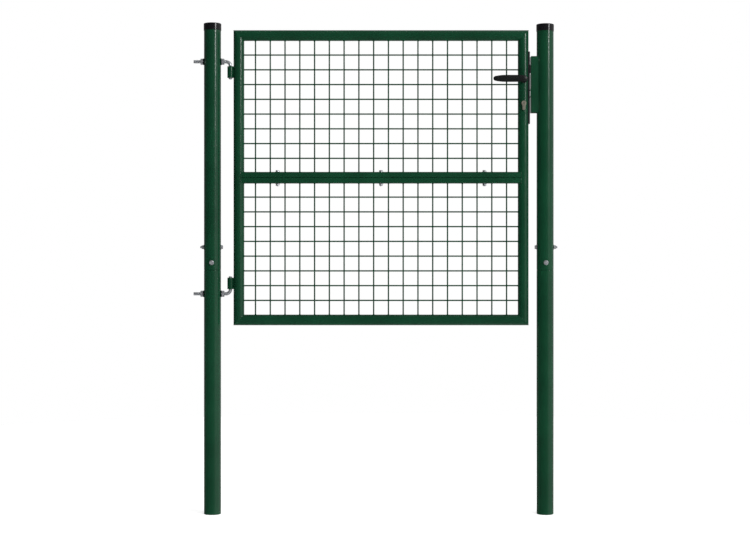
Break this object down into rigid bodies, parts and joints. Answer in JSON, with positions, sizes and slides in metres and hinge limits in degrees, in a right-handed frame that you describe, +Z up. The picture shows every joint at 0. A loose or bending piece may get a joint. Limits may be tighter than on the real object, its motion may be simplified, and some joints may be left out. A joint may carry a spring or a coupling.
{
  "type": "single leaf mesh gate",
  "caption": "Single garden or stock gate: round tube leaf with welded wire mesh, hung on hook bolts between two posts, with a lock and keeper, a lever in front and a knob behind.",
  "frame": {"origin": "centre of the hinge post's foot, on the post's axis", "axes": "+X across the gate from the hinge post to the latch post, +Y to the side the leaf opens to, +Z up"},
  "size_m": [1.2944, 0.105, 1.746],
  "materials": {
    "green_coat": "glossy moss green powder coat",
    "cap_plastic": "satin black moulded plastic",
    "lever_plastic": "fine-grained black moulded plastic",
    "black_coat": "satin black coat",
    "zinc_plate": "bright zinc plate",
    "dark_washer": "dark phosphated steel",
    "lock_steel": "dull plated steel",
    "cylinder_brass": "satin nickel on brass"
  },
  "bodies": {
    "posts": {"hinge_post_lower": "green_coat", "hinge_post_upper": "green_coat", "hinge_post_cap": "cap_plastic", "latch_post_lower": "green_coat", "latch_post_upper": "green_coat", "latch_post_cap": "cap_plastic", "splice_bolts": "zinc_plate", "splice_washers": "zinc_plate", "splice_nuts": "zinc_plate", "upper_hinge_hook": "zinc_plate", "lower_hinge_hook": "zinc_plate", "hinge_washers": "dark_washer", "hinge_nuts": "zinc_plate", "keeper_channel": "green_coat", "keeper_strike_plate": "green_coat"},
    "leaf": {"top_rail": "green_coat", "bottom_rail": "green_coat", "upper_hinge_stile": "green_coat", "lower_hinge_stile": "green_coat", "upper_latch_stile": "green_coat", "lower_latch_stile": "green_coat", "upper_middle_rail": "green_coat", "lower_middle_rail": "green_coat", "upper_mesh_uprights": "green_coat", "upper_mesh_crosswires": "green_coat", "lower_mesh_uprights": "green_coat", "lower_mesh_crosswires": "green_coat", "middle_bolts": "zinc_plate", "middle_washers": "zinc_plate", "middle_nuts": "zinc_plate", "upper_hinge_bush": "green_coat", "lower_hinge_bush": "green_coat", "lock_case": "lock_steel", "lock_case_cover": "lock_steel", "lock_forend": "black_coat", "forend_screws": "zinc_plate", "lever_roses": "lever_plastic", "cylinder_housing": "cylinder_brass", "cylinder_screw": "zinc_plate", "latch_spring": "lock_steel"},
    "levers": {"front_lever": "lever_plastic", "back_knob": "lever_plastic", "lever_spindle": "lock_steel", "lock_follower": "lock_steel", "lever_set_screws": "lock_steel"},
    "latch": {"latch_bolt": "lock_steel"},
    "dead": {"deadbolt": "lock_steel"},
    "key_plug": {"front_cylinder_plug": "cylinder_brass", "back_cylinder_plug": "cylinder_brass", "cylinder_cam": "lock_steel"}
  },
  "joints": [
    {"name": "gate_swing", "type": "hinge", "parent": "posts", "child": "leaf", "pos_m": [0.064, 0, 1.196], "axis": [0, 0, 1], "range_deg": [0, 110]},
    {"name": "lever_turn", "type": "hinge", "parent": "leaf", "child": "levers", "pos_m": [1.106, 0, 1.544], "axis": [0, -1, 0], "range_deg": [0, 40], "stiffness_Nm_per_rad": 0.6, "springref_deg": -20.05},
    {"name": "latch_slide", "type": "slide", "parent": "leaf", "child": "latch", "axis": [-1, 0, 0], "range_m": [0, 0.012], "deforming": ["latch_spring"]},
    {"name": "key_turn", "type": "hinge", "parent": "leaf", "child": "key_plug", "pos_m": [1.106, 0, 1.459], "axis": [0, 1, 0], "range_deg": [0, 360]},
    {"name": "deadbolt_throw", "type": "slide", "parent": "leaf", "child": "dead", "axis": [1, 0, 0], "range_m": [0, 0.02]}
  ],
  "couplings": [
    {"joint": "latch_slide", "follows": "lever_turn", "m_per_rad": 0.017},
    {"joint": "key_turn", "follows": "deadbolt_throw", "rad_per_m": 314.16}
  ]
}
